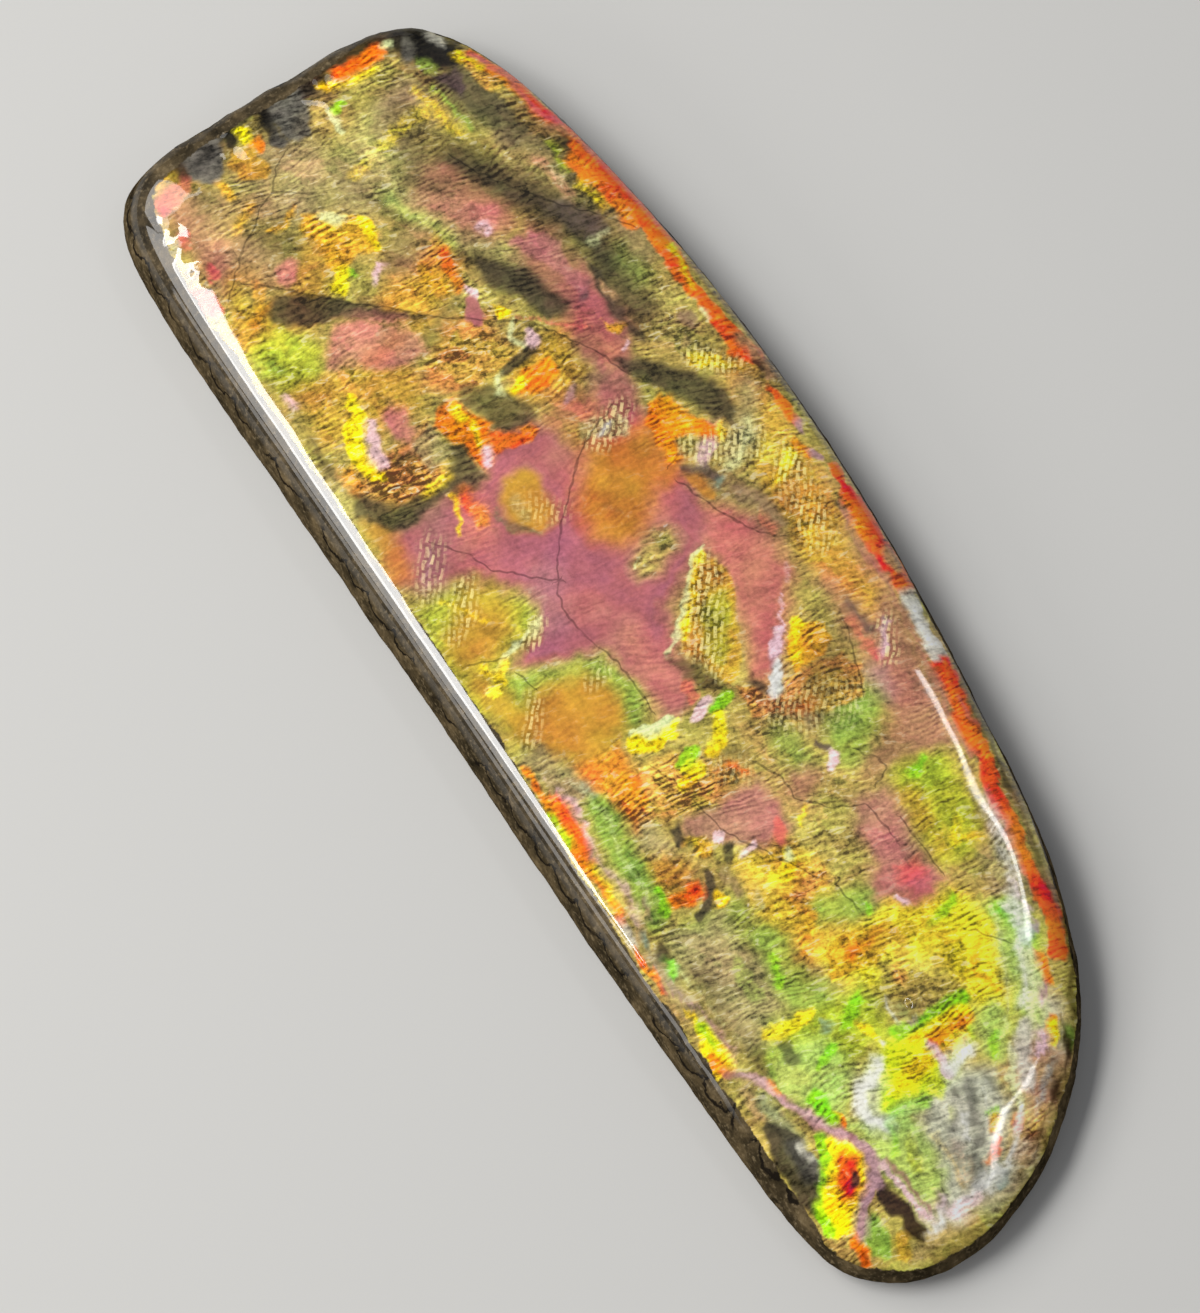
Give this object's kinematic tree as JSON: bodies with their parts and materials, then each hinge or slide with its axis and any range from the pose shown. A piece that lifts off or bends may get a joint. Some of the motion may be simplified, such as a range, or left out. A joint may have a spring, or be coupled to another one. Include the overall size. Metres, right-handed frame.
{
  "type": "ammolite specimen",
  "caption": "Long thin freeform stone of polished iridescent fossil ammonite shell on grey-brown matrix, flat back, rounded tip; lies loose for display.",
  "frame": {"origin": "middle of the flat back, under the centre of the stone's bounding box", "axes": "+X towards the rounded tip, +Y towards the bowed long edge, +Z out of the polished face"},
  "size_m": [0.08, 0.0304, 0.0058],
  "materials": {
    "ammolite": "polished iridescent fossil shell, green to gold, orange and magenta, on grey-brown ironstone"
  },
  "bodies": {
    "root": {"ammolite_stone": "ammolite"}
  },
  "joints": []
}
